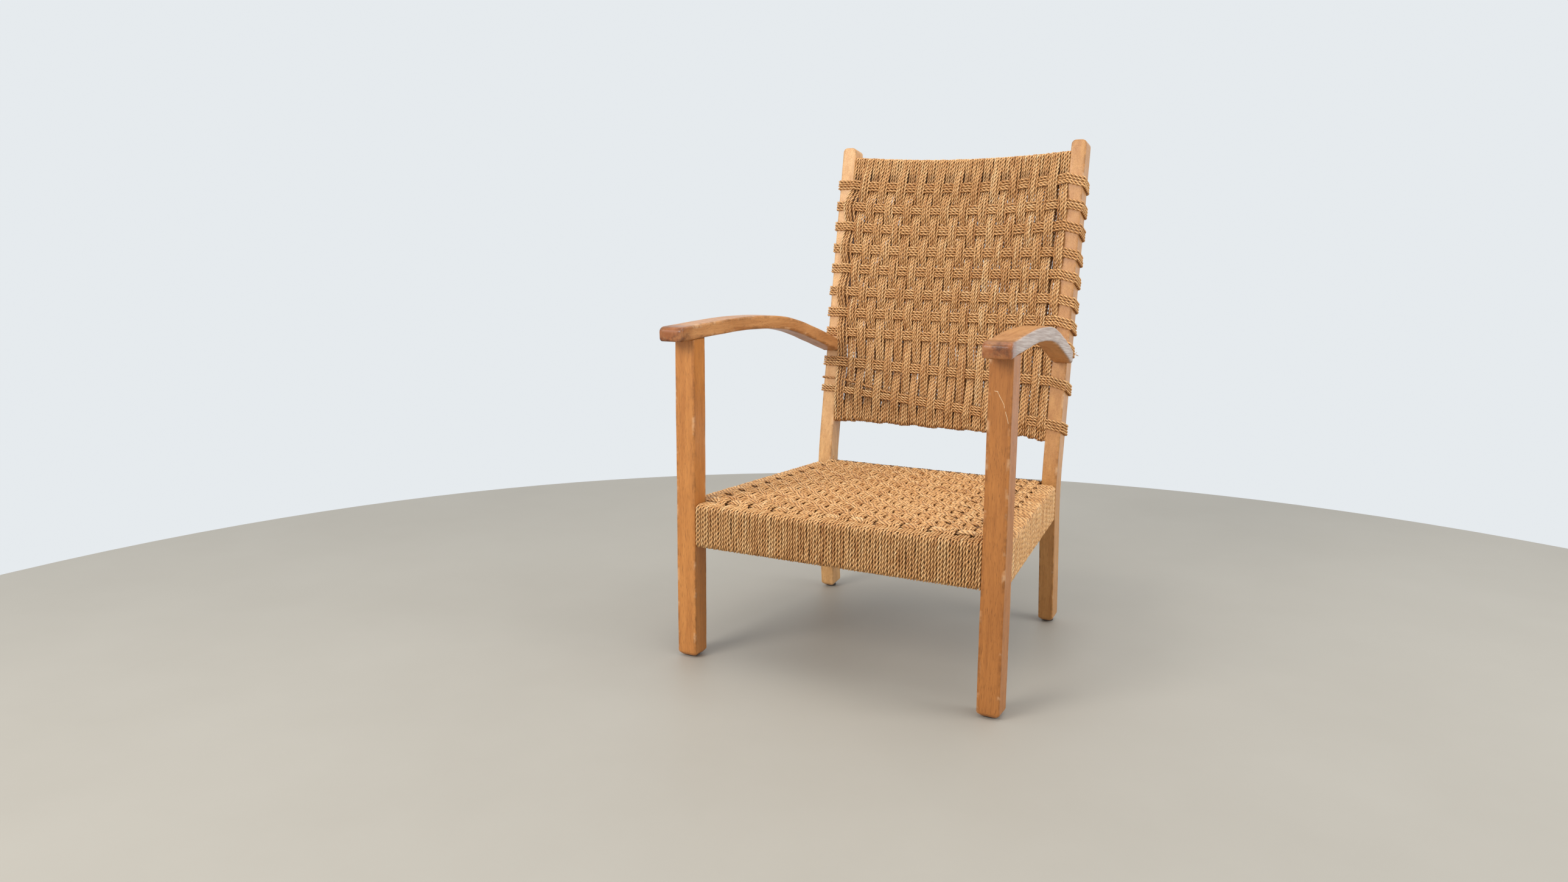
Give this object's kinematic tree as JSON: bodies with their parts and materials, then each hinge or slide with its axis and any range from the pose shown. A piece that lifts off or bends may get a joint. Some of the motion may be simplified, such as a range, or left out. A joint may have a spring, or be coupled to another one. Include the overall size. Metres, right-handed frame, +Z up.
{
  "type": "armchair",
  "caption": "Low open armchair: square-section wooden frame with arched armrests and leaning back posts, the seat and curved back woven from twisted natural cord.",
  "frame": {"origin": "on the floor, under the middle of the chair's bounding box", "axes": "+X to the sitter's left, +Y from the front of the chair to the back, +Z up"},
  "size_m": [0.6154, 0.6731, 0.94],
  "materials": {
    "frame_wood": "worn clear varnish, honey to mid brown, satin",
    "rail_wood": "plain, unvarnished",
    "dowel_wood": "plain, unvarnished",
    "cord": "twisted two-strand seagrass cord, matt with a slight sheen",
    "glide": "dark, worn"
  },
  "bodies": {
    "root": {"front_leg_left": "frame_wood", "back_post_left": "frame_wood", "armrest_left": "frame_wood", "seat_rail_left": "rail_wood", "arm_front_dowel_left": "dowel_wood", "arm_rear_dowel_inner_left": "dowel_wood", "arm_rear_dowel_outer_left": "dowel_wood", "glide_front_left": "glide", "glide_back_left": "glide", "front_leg_right": "frame_wood", "back_post_right": "frame_wood", "armrest_right": "frame_wood", "seat_rail_right": "rail_wood", "arm_front_dowel_right": "dowel_wood", "arm_rear_dowel_inner_right": "dowel_wood", "arm_rear_dowel_outer_right": "dowel_wood", "glide_front_right": "glide", "glide_back_right": "glide", "seat_rail_front": "rail_wood", "seat_rail_back": "rail_wood", "back_rail_top": "rail_wood", "back_rail_bottom": "rail_wood", "seat_cord_front_to_back": "cord", "seat_cord_side_to_side": "cord", "back_cord_upright": "cord", "back_cord_row_01": "cord", "back_cord_row_02": "cord", "back_cord_row_03": "cord", "back_cord_row_04": "cord", "back_cord_row_05": "cord", "back_cord_row_06": "cord", "back_cord_row_07": "cord", "back_cord_row_08": "cord", "back_cord_row_09": "cord", "back_cord_row_10": "cord"}
  },
  "joints": []
}
